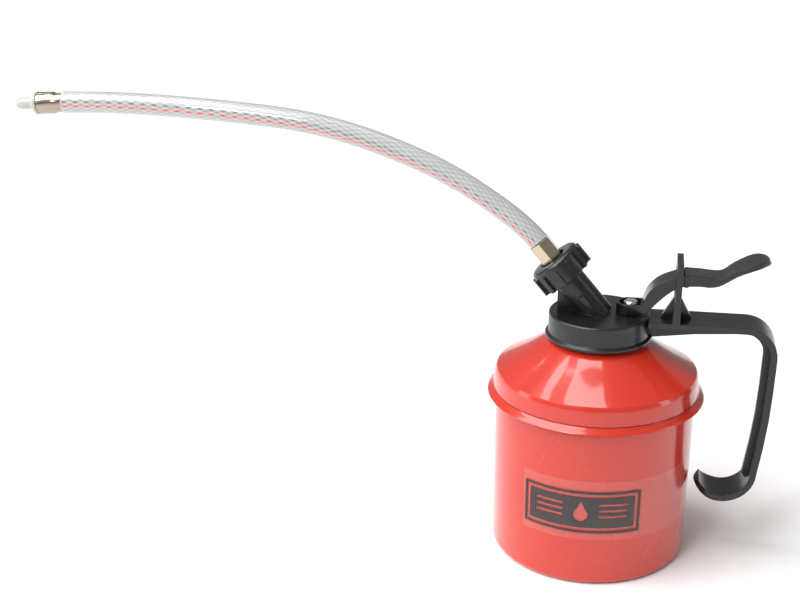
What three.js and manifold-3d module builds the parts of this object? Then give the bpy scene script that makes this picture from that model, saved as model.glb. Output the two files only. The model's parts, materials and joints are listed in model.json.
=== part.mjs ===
// Thumb-lever pump oil can with a long flexible spout. Millimetres, +Z up.
// Origin: centre of the can's flat base. The handle is on +X and the spout on -X.
import * as THREE from "three";
import { mergeVertices } from "three/addons/utils/BufferGeometryUtils.js";
import Module from "manifold-3d";

const wasm = await Module();
wasm.setup();

const rad = THREE.MathUtils.degToRad;

// ---- clearances ----
const GAP = 0.3; // faces that meet
const RUN = 0.4; // faces that move past each other

// ---- can ----
const CAN_R = 40; // outside of the plain wall
const WALL_TOP = 65.2; // where the wall turns out into the lip
const SHEET = 0.8; // sheet metal
const BASE_CORNER_R = 2.5;
const BASE_BEAD_IN = 27; // stiffening bead pressed up into the base
const BASE_BEAD_OUT = 33;
const BASE_BEAD_H = 1;
const LIP_REACH = 3.4; // how far the lip stands out from the wall
const LIP_H = 4.7; // wall top to the top of the rim
const SKIRT_PROUD = 1; // how far the dome skirt's foot stands out from the wall
const SKIRT_TOP_PROUD = 0.6;
const SKIRT_H = 5; // straight part of the skirt
const SHOULDER_H = 7.6; // rim to the shoulder's edge
const SPIGOT_H = 6; // sleeve of the dome that drops into the can's mouth
const CONE_FOOT_R = 22; // where the dome's cone meets the flatter land at the neck
const CONE_RISE = 10.8;
const CONE_SAG = 0.3; // the cone is slightly hollow
const LAND_RISE = 2.1;

// ---- threaded neck ----
const NECK_BORE_R = 17;
const NECK_WALL = 0.8;
const NECK_H = 6.2; // above the dome's hole
const NECK_FLANGE = 1.8;
const THREAD_DEPTH = 0.5;
const THREAD_PITCH = 4;
const THREAD_START = 1.2; // above the dome's hole
const THREAD_SWEEP = 1.9 * Math.PI;
const GASKET_T = 1.4;

// ---- cap of the head ----
const CAP_WALL = 1.3;
const CAP_ROOF = 2.5;
const CAP_CLEAR = 0.6; // cap's foot above the dome's hole
const CAP_EDGE_R = 1;
const BEAD_PROUD = 1.1;
const BEAD_H = 1.7;

// ---- handle ----
const STRIP_W = 16;
const STRIP_T = 2.5;
const STRIP_DROP = 0.9; // strip's top below the cap's top
const FINGER_ROOM = 29; // can wall to the outside of the handle's leg
const CORNER_R = 12.5;
const HOOK_R = 13.2;
const HOOK_IN = 2.8; // hook's outside is set in from the leg's
const HOOK_DEPTH = 63.1; // cap's top down to the hook's centre
const HOOK_END = rad(-145);
const HOOK_TIP_LEN = 8; // rounded length of the hook's end, seen from above
const WEB_T = 2.5;
const WEB_H = 2.4; // web inside the strip
const ROOT_RIB_H = 6; // rib under the strip: deepest at the cap
const MID_RIB_H = 3.7;
const MID_RIB_AT = 17.7; // cap's wall to where the rib gets shallower

// ---- guide post ----
const POST_AT = 9.8; // from the cap's wall to the middle of the post
const POST_W = 16;
const POST_T = 2.4;
const POST_FOOT_T = 3.2;
const POST_H = 22.6; // above the cap's top
const WINDOW_LOW = 7.8; // above the cap's top
const WINDOW_HIGH = 20.1;
const WINDOW_SIDE = 0.8; // room beside the lever's arm
const POST_RIB_REACH = 4.4;
const POST_RIB_T = 2.2;

// ---- lever ----
const LEVER_W = 10;
const PADDLE_W = 14;
const LEVER_LIFT = 0.4; // underside of the lever's foot above the cap
const TRAY_LEN = 8.5;
const TRAY_WALL = 1.1;
const TRAY_SIDE = 1.3;
const TRAY_FLOOR_H = 2.5;
const TRAY_RIM_H = 4.5;
const COLLAR_T = 1.5;
const COLLAR_PROUD = 0.8;
const COLLAR_LOW = 13.4; // above the cap's top
const COLLAR_HIGH = 17.9;
const SLOT_BACK = 3.2; // rod axis to the ends of its slot
const SLOT_FORE = 1.9;

// ---- pump ----
const BARREL_BORE_R = 3.7;
const BARREL_WALL = 1;
const BARREL_LEN = 36.6;
const BARREL_TOP_T = 2.3; // plate at the barrel's top that carries the oil passage
const PASSAGE_W = 2;
const PASSAGE_H = 1.4;
const ROD_R = 1.5;
const BUTTON_R = 2.85;
const BUTTON_CONE_H = 1.2;
const BUTTON_DOME_H = 1.5;
const GLAND_WALL = 0.9;
const GLAND_FLANGE_T = 2;
const SEAL_T = 1;
const PISTON_AT = 24.6; // barrel's top to the piston's top, plunger down
const PISTON_H = 4.1;
const PISTON_SPIGOT = 2.9;
const ROD_IN_PISTON = 2.7;
const CUP_T = 2;
const SPRING_WIRE_R = 0.4;
const SPRING_TURNS = 7;
const VALVE_BODY = 6.7;
const INLET_BALL_R = 1.8;
const INLET_SEAT = 0.67; // seat's bore to the ball
const INLET_LIFT = 1.2;
const TUBE_R = 2;
const TUBE_WALL = 0.8;
const TUBE_PLUG = 3.4;
const STRAINER_H = 6;
const STRAINER_CLEAR = 1.7; // strainer above the can's floor
const DUCT_R = 1.5;

// ---- spout socket, union nut, adaptor; lengths run along the spout's axis from the cap's top ----
const SPOUT_TILT = rad(41); // from upright, towards -X
const SPOUT_FOOT_X = -1.4; // where the axis meets the cap's top
const SOCKET_R = 5.9;
const SOCKET_END = 23.2;
const SOCKET_BORE_R = 2.9;
const SOCKET_THREAD_R = 7.4;
const SOCKET_THREAD_L = 5.2;
const SEAT_AT = 6;
const OUTLET_BALL_R = 2.2;
const OUTLET_WIRE_R = 0.25;
const OUTLET_TURNS = 9;
const FIN_REACH = 1.5;
const FIN_T = 2;
const FIN_UP = 0.8; // fins sit this far above the axis
const FIN_L = 9.6;
const GUSSET_T = 2.2;
const GUSSET_REACH = 15.2; // from the foot of the axis, towards the spout
const WASHER_T = 0.7;
const FLANGE_T = 0.9;
const FLANGE_R = 6.6;
const NUT_R = 10.4;
const NUT_RIB = 1.1;
const NUT_RIB_W = 1.4;
const NUT_RIB_L = 7.1;
const NUT_RIBS = 12;
const NUT_L = 9.3;
const NUT_FACE_T = 1.5;
const NUT_HOLE_R = 5.4;
const NUT_ROUND = 1.6;
const HEX_FLATS = 8.2;
const HEX_TURN = rad(5);
const HEX_L = 10.3;

// ---- hose and its end ----
const HOSE_R = 4.15;
const HOSE_SIDES = 12;
const HOSE_STEPS = 34;
// Centre line from the adaptor to the ferrule, [x, z], as the spout is bent
const HOSE_ROUTE = [
  [-28.1, 131.7],
  [-31.8, 135],
  [-36.3, 138.5],
  [-41, 141.8],
  [-47, 145.7],
  [-53, 149.4],
  [-60.4, 153.4],
  [-67.9, 157],
  [-83.4, 163],
  [-100.1, 168.1],
  [-118, 171.7],
  [-139.9, 173.9],
  [-164.4, 175.4],
  [-182, 176],
  [-197.5, 176.1],
];
const TIP_X = -213.4; // hose end
const TIP_Z = 175.7;
const TIP_TILT = rad(93.4); // end fitting's axis, from upright
const FERRULE_L = 10;
const FERRULE_R = 4.3;
const FERRULE_NECK_R = 3.75;
const FERRULE_BORE_R = 2.6;
const NOZZLE_FLANGE_R = 4.4;
const NOZZLE_FLANGE_T = 1.2;
const NOZZLE_CONE = 1.5;
const NOZZLE_R = 2.3;
const NOZZLE_TIP_R = 2;
const NOZZLE_TUBE = 4;
const NOZZLE_TIP = 2.8;
const NOZZLE_TIP_STRAIGHT = 1.7;
const NOZZLE_BORE_R = 0.9;
const NOZZLE_TAIL = 6;

// ---- label ----
const LABEL_T = 0.25;
const LABEL_GAP = 0.3;
const LABEL_Z = 21; // lower edge
const LABEL_H = 25.5;
const LABEL_STEPS = [-17, -3]; // span round the wall, in wall facets from +X

// ---- facets ----
const CAN_SIDES = 48;
const TUBE_SIDES = 24;
const SMALL_SIDES = 16;
const CORNER_STEPS = 3;
const BEND_STEPS = 9;
const HOOK_STEPS = 16;
const LEVER_STEPS = 30; // along each long curve of the lever
const COIL_STEPS = 10; // per turn
const WIRE_SIDES = 6;
const DOME_STEPS = 4;

// ---- heights and radii that follow ----
const RIM_Z = WALL_TOP + LIP_H;
const SKIRT_Z = RIM_Z + GAP;
const SHOULDER_Z = RIM_Z + SHOULDER_H + GAP;
const CONE_FOOT_Z = SHOULDER_Z + CONE_RISE;
const HOLE_Z = CONE_FOOT_Z + LAND_RISE;
const NECK_R = NECK_BORE_R + NECK_WALL;
const HOLE_R = NECK_R + GAP;
const LAND_SLOPE = LAND_RISE / (CONE_FOOT_R - HOLE_R);
const CAP_BORE_R = NECK_R + THREAD_DEPTH + GAP;
const CAP_R = CAP_BORE_R + CAP_WALL;
const CAP_Z = HOLE_Z + CAP_CLEAR;
const NECK_TOP_Z = HOLE_Z + NECK_H;
const ROOF_Z = NECK_TOP_Z + GAP + GASKET_T + GAP;
const HEAD_Z = ROOF_Z + CAP_ROOF;
const STRIP_Z = HEAD_Z - STRIP_DROP;
const LEG_X = CAN_R + FINGER_ROOM;
const POST_X = CAP_R + POST_AT;

const BARREL_R = BARREL_BORE_R + BARREL_WALL;
const ROD_X = NECK_BORE_R - GAP - BARREL_R;
const BARREL_TOP_Z = ROOF_Z - GAP;
const BARREL_Z = BARREL_TOP_Z - BARREL_LEN;
const GLAND_R = ROD_R + GAP + GLAND_WALL;
const SEAL_Z = BARREL_TOP_Z - GLAND_FLANGE_T - GAP - SEAL_T;
const PISTON_Z = BARREL_TOP_Z - PISTON_AT;
const PISTON_LOW_Z = PISTON_Z - PISTON_H;
const VALVE_LOW_Z = BARREL_Z - GAP - VALVE_BODY;
const INLET_SEAT_R = INLET_BALL_R * INLET_SEAT;
const INLET_CHAMBER_R = INLET_BALL_R + RUN;
const INLET_SEAT_Z = VALVE_LOW_Z + TUBE_PLUG + GAP + SHEET;
const INLET_BALL_Z = INLET_SEAT_Z - INLET_SEAT_R + (INLET_BALL_R + GAP) * Math.SQRT2; // 45 degree seat
const OUTLET_BALL_AT = SEAT_AT - DUCT_R + (OUTLET_BALL_R + GAP) * Math.SQRT2;
const TRAY_Z = HEAD_Z + TRAY_FLOOR_H;
const BUTTON_Z = TRAY_Z + GAP;

const WASHER_AT = SOCKET_END + GAP;
const FLANGE_AT = WASHER_AT + WASHER_T + GAP;
const NUT_FACE_AT = FLANGE_AT + FLANGE_T + GAP;
const NUT_END = NUT_FACE_AT + NUT_FACE_T;
const NUT_START = NUT_END - NUT_L;
const HEX_AT = FLANGE_AT + FLANGE_T;
const HEX_END = HEX_AT + HEX_L;
const HOSE_AT = HEX_END + GAP;

// ---- finishes ----
const finish = (color, roughness, metalness) => ({ color, roughness, metalness });
const RED = finish(0xd8281c, 0.25, 0.1);
const BLACK = finish(0x1c1c1e, 0.55, 0);
const GLOSS_BLACK = finish(0x161618, 0.35, 0);
const STEEL = finish(0xb8bcc0, 0.35, 0.9);
const ZINC = finish(0xd0d4da, 0.2, 1);
const BRASS = finish(0xb08a4a, 0.3, 1);
const NICKEL = finish(0xc9c0a8, 0.3, 1);
const RUBBER = finish(0x222222, 0.8, 0);
const CLEAR = finish(0xe6e6e8, 0.3, 0);
const WHITE = finish(0xf1f1ee, 0.4, 0);

// ---- solids ----

// One closed body: shared corners, no collapsed triangles, faces pointing out
function closed(geometry) {
  const bare = geometry.clone();
  bare.deleteAttribute("normal");
  bare.deleteAttribute("uv");
  const merged = mergeVertices(bare, 1e-4);
  const place = merged.getAttribute("position");
  const index = merged.getIndex().array;
  const kept = [];
  const a = new THREE.Vector3();
  const b = new THREE.Vector3();
  const c = new THREE.Vector3();
  let volume = 0;
  for (let i = 0; i < index.length; i += 3) {
    const [p, q, r] = [index[i], index[i + 1], index[i + 2]];
    if (p === q || q === r || r === p) continue;
    kept.push(p, q, r);
    a.fromBufferAttribute(place, p);
    b.fromBufferAttribute(place, q);
    c.fromBufferAttribute(place, r);
    volume += a.dot(b.cross(c));
  }
  if (volume < 0) kept.reverse();
  merged.setIndex(kept);
  return merged;
}

function toSolid(geometry) {
  const body = closed(geometry);
  return new wasm.Manifold(
    new wasm.Mesh({
      numProp: 3,
      vertProperties: new Float32Array(body.getAttribute("position").array),
      triVerts: new Uint32Array(body.getIndex().array),
    }),
  );
}

function fromSolid(solid) {
  const mesh = solid.getMesh();
  const geometry = new THREE.BufferGeometry();
  geometry.setAttribute("position", new THREE.BufferAttribute(mesh.vertProperties, 3));
  geometry.setIndex(new THREE.BufferAttribute(mesh.triVerts, 1));
  return geometry;
}

const join = (solids) => solids.reduce((sum, solid) => sum.add(solid));
const cut = (solid, tools) => tools.reduce((rest, tool) => rest.subtract(tool), solid);

// Profile of [radius, height] turned about Z. It starts and ends on the axis, or closes on itself
function turned(profile, sides) {
  const points = profile.map(([r, z]) => new THREE.Vector2(r, z));
  const solid = profile[0][0] === 0 && profile[profile.length - 1][0] === 0;
  if (!solid) points.push(points[0].clone());
  return closed(new THREE.LatheGeometry(points, sides).rotateX(Math.PI / 2));
}

const rodOf = (r, z0, z1, sides) => turned([[0, z0], [r, z0], [r, z1], [0, z1]], sides);

function ringOf(rIn, rOut, z0, z1, sides) {
  return turned([[rIn, z0], [rOut, z0], [rOut, z1], [rIn, z1]], sides);
}

// Points on a circle between two directions
function arc(x, z, radius, from, to, steps) {
  const points = [];
  for (let i = 0; i <= steps; i++) {
    const angle = from + ((to - from) * i) / steps;
    points.push([x + radius * Math.cos(angle), z + radius * Math.sin(angle)]);
  }
  return points;
}

// Outline in the XZ plane, given thickness across Y
function plate(outline, thickness) {
  const shape = new THREE.Shape(outline.map(([x, z]) => new THREE.Vector2(x, z)));
  const options = { depth: thickness, bevelEnabled: false };
  return new THREE.ExtrudeGeometry(shape, options).rotateX(Math.PI / 2).translate(0, thickness / 2, 0);
}

// Outline in the XY plane, raised along Z
function slab(outline, z0, z1) {
  const shape = new THREE.Shape(outline.map(([x, y]) => new THREE.Vector2(x, y)));
  return new THREE.ExtrudeGeometry(shape, { depth: z1 - z0, bevelEnabled: false }).translate(0, 0, z0);
}

function block(x0, x1, width, z0, z1) {
  return new THREE.BoxGeometry(x1 - x0, width, z1 - z0).translate((x0 + x1) / 2, 0, (z0 + z1) / 2);
}

// Regular outline of a wire or hose
function roundShape(radius, sides) {
  const points = [];
  for (let i = 0; i < sides; i++) {
    const angle = (2 * Math.PI * i) / sides;
    points.push(new THREE.Vector2(radius * Math.cos(angle), radius * Math.sin(angle)));
  }
  return new THREE.Shape(points);
}

class Coil extends THREE.Curve {
  constructor(radius, low, high, turns) {
    super();
    Object.assign(this, { radius, low, high, turns });
  }
  getPoint(t, target = new THREE.Vector3()) {
    const angle = this.turns * 2 * Math.PI * t;
    const height = this.low + (this.high - this.low) * t;
    return target.set(this.radius * Math.cos(angle), this.radius * Math.sin(angle), height);
  }
}

function coilSpring(radius, wireR, low, high, turns) {
  const path = new Coil(radius, low + wireR, high - wireR, turns);
  const options = { steps: turns * COIL_STEPS, extrudePath: path, bevelEnabled: false };
  return closed(new THREE.ExtrudeGeometry(roundShape(wireR, WIRE_SIDES), options));
}

// From the spout axis's own frame (Z along it, from the cap's top) to the part's frame
function alongSpout(geometry) {
  return geometry.rotateY(-SPOUT_TILT).translate(SPOUT_FOOT_X, 0, HEAD_Z);
}

function spoutPoint(along, above = 0) {
  const x = SPOUT_FOOT_X - along * Math.sin(SPOUT_TILT) + above * Math.cos(SPOUT_TILT);
  return [x, HEAD_Z + along * Math.cos(SPOUT_TILT) + above * Math.sin(SPOUT_TILT)];
}

// ---- can ----

function canBody() {
  const inner = CAN_R - SHEET;
  const bead = SHEET + BASE_BEAD_H;
  const foot = CAN_R - BASE_CORNER_R;
  return turned(
    [
      [0, 0],
      [BASE_BEAD_IN, 0],
      [BASE_BEAD_IN + BASE_BEAD_H, BASE_BEAD_H],
      [BASE_BEAD_OUT - BASE_BEAD_H, BASE_BEAD_H],
      [BASE_BEAD_OUT, 0],
      ...arc(foot, BASE_CORNER_R, BASE_CORNER_R, -Math.PI / 2, 0, CORNER_STEPS),
      [CAN_R, WALL_TOP],
      [CAN_R + SHEET, WALL_TOP + SHEET],
      [CAN_R + LIP_REACH - SHEET, WALL_TOP + SHEET * 2],
      [CAN_R + LIP_REACH, WALL_TOP + SHEET * 3],
      [CAN_R + LIP_REACH - SHEET / 4, WALL_TOP + SHEET * 3.7],
      [CAN_R + LIP_REACH - SHEET * 1.5, WALL_TOP + SHEET * 4.5],
      [CAN_R + SKIRT_PROUD + GAP, RIM_Z - SHEET / 2],
      [CAN_R + SKIRT_PROUD, RIM_Z],
      [inner, RIM_Z],
      ...arc(foot, BASE_CORNER_R, BASE_CORNER_R - SHEET, 0, -Math.PI / 2, CORNER_STEPS),
      [BASE_BEAD_OUT, SHEET],
      [BASE_BEAD_OUT - BASE_BEAD_H, bead],
      [BASE_BEAD_IN + BASE_BEAD_H, bead],
      [BASE_BEAD_IN, SHEET],
      [0, SHEET],
    ],
    CAN_SIDES,
  );
}

// Outer line of the dome from the shoulder to its hole, or the same line lowered for the inside
function domeLine(down) {
  const edgeR = CAN_R - SHEET / 4;
  const points = [];
  for (let i = 0; i <= DOME_STEPS; i++) {
    const t = i / DOME_STEPS;
    const sag = CONE_SAG * Math.sin(Math.PI * t);
    points.push([edgeR + (CONE_FOOT_R - edgeR) * t, SHOULDER_Z + CONE_RISE * t - sag - down]);
  }
  points.push([HOLE_R, HOLE_Z - down]);
  return points;
}

function canShoulder() {
  const spigotOut = CAN_R - SHEET - GAP;
  const spigotIn = spigotOut - SHEET;
  const inside = domeLine(SHEET * 1.2).reverse();
  inside[inside.length - 1][0] -= SHEET;
  return turned(
    [
      [spigotIn, RIM_Z - SPIGOT_H],
      [spigotOut, RIM_Z - SPIGOT_H],
      [spigotOut, SKIRT_Z],
      [CAN_R + SKIRT_PROUD, SKIRT_Z],
      [CAN_R + SKIRT_TOP_PROUD, SKIRT_Z + SKIRT_H],
      [CAN_R + SKIRT_TOP_PROUD * 0.7, SHOULDER_Z - SHEET * 1.5],
      ...domeLine(0),
      ...inside,
      [spigotIn, SKIRT_Z + SKIRT_H],
    ],
    CAN_SIDES,
  );
}

// Ridge of the neck's thread: one turn of a bar, rooted in the collar's wall
function threadRidge() {
  const section = [
    [NECK_R - THREAD_DEPTH / 2, -THREAD_DEPTH * 1.5],
    [NECK_R + THREAD_DEPTH, -THREAD_DEPTH / 2],
    [NECK_R + THREAD_DEPTH, THREAD_DEPTH / 2],
    [NECK_R - THREAD_DEPTH / 2, THREAD_DEPTH * 1.5],
  ];
  const sides = section.length;
  const steps = CAN_SIDES / 2;
  const corners = [];
  const faces = [];
  for (let i = 0; i <= steps; i++) {
    const angle = (THREAD_SWEEP * i) / steps;
    const centre = HOLE_Z + THREAD_START + (THREAD_PITCH * angle) / (2 * Math.PI);
    for (const [r, z] of section) corners.push(r * Math.cos(angle), r * Math.sin(angle), centre + z);
  }
  for (let i = 0; i < steps; i++) {
    for (let j = 0; j < sides; j++) {
      const a = i * sides + j;
      const b = i * sides + ((j + 1) % sides);
      faces.push(a, b, b + sides, a, b + sides, a + sides);
    }
  }
  const last = steps * sides;
  faces.push(0, 3, 2, 0, 2, 1, last, last + 1, last + 2, last, last + 2, last + 3);
  const ridge = new THREE.BufferGeometry();
  ridge.setAttribute("position", new THREE.BufferAttribute(new Float32Array(corners), 3));
  ridge.setIndex(faces);
  return ridge;
}

// Sleeve through the dome's hole, with a sloping flange under the dome
function neckCollar() {
  const flangeR = NECK_R + NECK_FLANGE;
  const under = SHEET * 1.2 + RUN;
  const topAt = (r) => HOLE_Z - (r - HOLE_R) * LAND_SLOPE - under;
  const sleeve = turned(
    [
      [NECK_BORE_R, topAt(NECK_R) - SHEET],
      [flangeR, topAt(flangeR) - SHEET],
      [flangeR, topAt(flangeR)],
      [NECK_R, topAt(NECK_R)],
      [NECK_R, NECK_TOP_Z],
      [NECK_BORE_R, NECK_TOP_Z],
    ],
    CAN_SIDES,
  );
  return fromSolid(join([toSolid(sleeve), toSolid(threadRidge())]));
}

function headGasket() {
  return ringOf(NECK_BORE_R + GAP / 2, NECK_R + THREAD_DEPTH, NECK_TOP_Z + GAP, ROOF_Z - GAP, CAN_SIDES);
}

// ---- head moulding: cap, spout socket, handle and guide post in one piece ----

function capShell() {
  const beadR = CAP_R + BEAD_PROUD;
  return turned(
    [
      [CAP_BORE_R, CAP_Z],
      [beadR - BEAD_H / 3, CAP_Z],
      [beadR, CAP_Z + BEAD_H / 4],
      [beadR, CAP_Z + (BEAD_H * 3) / 4],
      [beadR - BEAD_H / 3, CAP_Z + BEAD_H],
      [CAP_R, CAP_Z + BEAD_H + GAP],
      ...arc(CAP_R - CAP_EDGE_R, HEAD_Z - CAP_EDGE_R, CAP_EDGE_R, 0, Math.PI / 2, CORNER_STEPS),
      [0, HEAD_Z],
      [0, ROOF_Z],
      [CAP_BORE_R, ROOF_Z],
    ],
    CAN_SIDES,
  );
}

// Outer line of the handle: along the top, round the corner, down the leg and up into the finger hook
function handleLine() {
  const cornerX = LEG_X - CORNER_R;
  const cornerZ = STRIP_Z - CORNER_R;
  const hookX = LEG_X - HOOK_IN - HOOK_R;
  const hookZ = HEAD_Z - HOOK_DEPTH;
  const leg = cornerZ - hookZ;
  return {
    top: [[CAP_R - CAP_WALL / 2, STRIP_Z]],
    bend: arc(cornerX, cornerZ, CORNER_R, Math.PI / 2, 0, BEND_STEPS),
    leg: [
      [LEG_X - HOOK_IN * 0.03, cornerZ - leg * 0.27],
      [LEG_X - HOOK_IN * 0.17, cornerZ - leg * 0.52],
      [LEG_X - HOOK_IN * 0.5, cornerZ - leg * 0.76],
    ],
    hook: arc(hookX, hookZ, HOOK_R, 0, HOOK_END, HOOK_STEPS),
  };
}

// The same line moved in by a depth that can change from point to point
function movedIn(line, depthAt) {
  return line.map(([x, z], i) => {
    const [x0, z0] = line[Math.max(i - 1, 0)];
    const [x1, z1] = line[Math.min(i + 1, line.length - 1)];
    const length = Math.hypot(x1 - x0, z1 - z0);
    const depth = depthAt(i);
    return [x + ((z1 - z0) / length) * depth, z - ((x1 - x0) / length) * depth];
  });
}

function handleStrip() {
  const { top, bend, leg, hook } = handleLine();
  const line = [...top, ...bend, ...leg, ...hook];
  return toSolid(plate([...line, ...movedIn(line, () => STRIP_T).reverse()], STRIP_W));
}

function handleWeb() {
  const { bend, leg, hook } = handleLine();
  const line = [...bend, ...leg, ...hook.slice(0, 4)];
  const last = line.length - 1;
  const inner = movedIn(line, (i) => (i === last ? STRIP_T * 0.9 : STRIP_T + WEB_H));
  return toSolid(plate([...movedIn(line, () => STRIP_T / 2), ...inner.reverse()], WEB_T));
}

// What the hook's rounded end is cut away by, seen from above
function hookTipTrim() {
  const { hook } = handleLine();
  const half = STRIP_W / 2;
  const tipX = hook[hook.length - 1][0];
  const hookZ = HEAD_Z - HOOK_DEPTH;
  const centre = tipX + HOOK_TIP_LEN;
  const outline = arc(centre, 0, 1, Math.PI / 2, (Math.PI * 3) / 2, BEND_STEPS * 2);
  const rounded = outline.map(([x, y]) => [centre + (x - centre) * HOOK_TIP_LEN, y * half]);
  const outer = [
    [centre, -STRIP_W],
    [tipX - HOOK_TIP_LEN, -STRIP_W],
    [tipX - HOOK_TIP_LEN, STRIP_W],
    [centre, STRIP_W],
  ];
  return toSolid(slab([...outer, ...rounded], hookZ - HOOK_R * 2, hookZ));
}

// Rib under the strip, from the cap to the web in the corner
function rootRib() {
  const rootX = CAP_R - CAP_WALL / 2;
  const sunk = STRIP_Z - STRIP_T / 2;
  const under = STRIP_Z - STRIP_T;
  const endX = LEG_X - CORNER_R + GAP;
  const outline = [
    [rootX, sunk],
    [rootX, under - ROOT_RIB_H],
    [rootX + MID_RIB_AT, under - MID_RIB_H],
    [endX, under - WEB_H],
    [endX, sunk],
  ];
  return toSolid(plate(outline, WEB_T));
}

function guidePost() {
  const foot = STRIP_Z - STRIP_T / 2;
  const top = HEAD_Z + POST_H;
  const low = HEAD_Z + WINDOW_LOW;
  const post = toSolid(
    plate(
      [
        [POST_X - POST_FOOT_T / 2, foot],
        [POST_X + POST_FOOT_T / 2, foot],
        [POST_X + POST_T / 2, low],
        [POST_X + POST_T / 2, top],
        [POST_X - POST_T / 2, top],
        [POST_X - POST_T / 2, low],
      ],
      POST_W,
    ),
  );
  const wide = POST_X + POST_FOOT_T;
  const windowW = LEVER_W + WINDOW_SIDE * 2;
  const window = toSolid(block(POST_X - POST_FOOT_T, wide, windowW, low, HEAD_Z + WINDOW_HIGH));
  const reach = POST_FOOT_T / 2 + POST_RIB_REACH;
  const ribs = plate(
    [
      [POST_X - reach, foot],
      [POST_X + reach, foot],
      [POST_X + reach, STRIP_Z],
      [POST_X + POST_T / 2, low],
      [POST_X - POST_T / 2, low],
      [POST_X - reach, STRIP_Z],
    ],
    POST_RIB_T,
  );
  return join([cut(post, [window]), toSolid(ribs)]);
}

function spoutSocket() {
  const threadAt = SOCKET_END - SOCKET_THREAD_L;
  const shoulder = SOCKET_THREAD_R - SOCKET_R;
  return toSolid(
    alongSpout(
      turned(
        [
          [0, -CAP_ROOF],
          [SOCKET_R, -CAP_ROOF],
          [SOCKET_R, threadAt - shoulder],
          [SOCKET_THREAD_R, threadAt],
          [SOCKET_THREAD_R, SOCKET_END - THREAD_DEPTH],
          [SOCKET_THREAD_R - THREAD_DEPTH, SOCKET_END],
          [0, SOCKET_END],
        ],
        TUBE_SIDES,
      ),
    ),
  );
}

function socketFins() {
  const width = (SOCKET_R + FIN_REACH) * 2;
  const fins = new THREE.BoxGeometry(FIN_T, width, FIN_L + CAP_ROOF);
  return toSolid(alongSpout(fins.translate(FIN_UP, 0, (FIN_L - CAP_ROOF) / 2)));
}

function socketGusset() {
  const edgeX = SPOUT_FOOT_X - GUSSET_REACH;
  const sunk = HEAD_Z - CAP_ROOF / 3;
  const [topX, topZ] = spoutPoint(SOCKET_END - SOCKET_THREAD_L, -SOCKET_R / 2);
  const edgeTop = HEAD_Z + (GUSSET_REACH - SOCKET_R / Math.cos(SPOUT_TILT)) / Math.tan(SPOUT_TILT);
  return toSolid(plate([[edgeX, sunk], [SPOUT_FOOT_X, sunk], [topX, topZ], [edgeX, edgeTop]], GUSSET_T));
}

// Nothing under the roof: anything of the socket that would reach below it
function underRoof() {
  return rodOf(CAP_BORE_R - GAP, ROOF_Z - CAP_ROOF * 3, ROOF_Z, CAN_SIDES);
}

function pumpHead() {
  const shell = join([
    toSolid(capShell()),
    handleStrip(),
    handleWeb(),
    rootRib(),
    guidePost(),
    spoutSocket(),
    socketFins(),
    socketGusset(),
  ]);
  const seatTop = SEAT_AT + SOCKET_BORE_R - DUCT_R;
  const bore = turned(
    [
      [0, -CAP_ROOF * 2],
      [DUCT_R, -CAP_ROOF * 2],
      [DUCT_R, SEAT_AT],
      [SOCKET_BORE_R, seatTop],
      [SOCKET_BORE_R, SOCKET_END + GAP],
      [0, SOCKET_END + GAP],
    ],
    TUBE_SIDES,
  );
  const glandHole = rodOf(GLAND_R + GAP, ROOF_Z - CAP_ROOF, HEAD_Z + CAP_ROOF, TUBE_SIDES);
  glandHole.translate(ROD_X, 0, 0);
  const tools = [toSolid(underRoof()), toSolid(alongSpout(bore)), toSolid(glandHole), hookTipTrim()];
  return fromSolid(cut(shell, tools));
}

// ---- lever ----

// Side view as [distance past the rod's axis, height above the cap's top]
const LEVER_TOP = [
  [-5.7, 4.5],
  [4.3, 4.6],
  [6, 9.6],
  [9.4, 13.5],
  [14.2, 16.1],
  [19.9, 17.9],
  [24.8, 18],
  [31.6, 17.5],
  [34.3, 18],
  [38.1, 20.8],
  [43.8, 23.7],
  [47.5, 24.7],
  [50.3, 24.5],
  [51.5, 23.3],
];
const LEVER_UNDER = [
  [49.3, 23.2],
  [44, 21.4],
  [39.1, 18.9],
  [35.3, 16.1],
  [32.2, 14.2],
  [28.9, 13.6],
  [25.5, 13.8],
  [19.8, 13.4],
  [16.8, 12.4],
  [12.3, 8.8],
  [7.8, 3.8],
  [6.2, 2],
  [2, LEVER_LIFT],
  [-5.7, LEVER_LIFT],
];

function leverPlan(end) {
  const arm = LEVER_W / 2;
  const paddle = PADDLE_W / 2;
  const start = ROD_X + LEVER_TOP[0][0];
  const centre = end - paddle;
  const neck = centre - PADDLE_W;
  const flare = new THREE.SplineCurve([
    new THREE.Vector2(neck, arm),
    new THREE.Vector2(neck + paddle * 0.9, arm + (paddle - arm) * 0.45),
    new THREE.Vector2(centre - paddle * 0.2, paddle),
  ]);
  const near = flare.getPoints(BEND_STEPS).map(({ x, y }) => [x, -y]);
  const far = flare.getPoints(BEND_STEPS).map(({ x, y }) => [x, y]).reverse();
  const half = arc(centre, 0, paddle, -Math.PI / 2, Math.PI / 2, BEND_STEPS * 2);
  const front = arc(start + arm, 0, arm, Math.PI / 2, (Math.PI * 3) / 2, BEND_STEPS * 2);
  return [...near, ...half, ...far, ...front];
}

// Smooth line through side-view points, with its ends kept
function eased(points) {
  const curve = new THREE.SplineCurve(points.map(([x, h]) => new THREE.Vector2(ROD_X + x, HEAD_Z + h)));
  return curve.getPoints(LEVER_STEPS).map(({ x, y }) => [x, y]);
}

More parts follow.
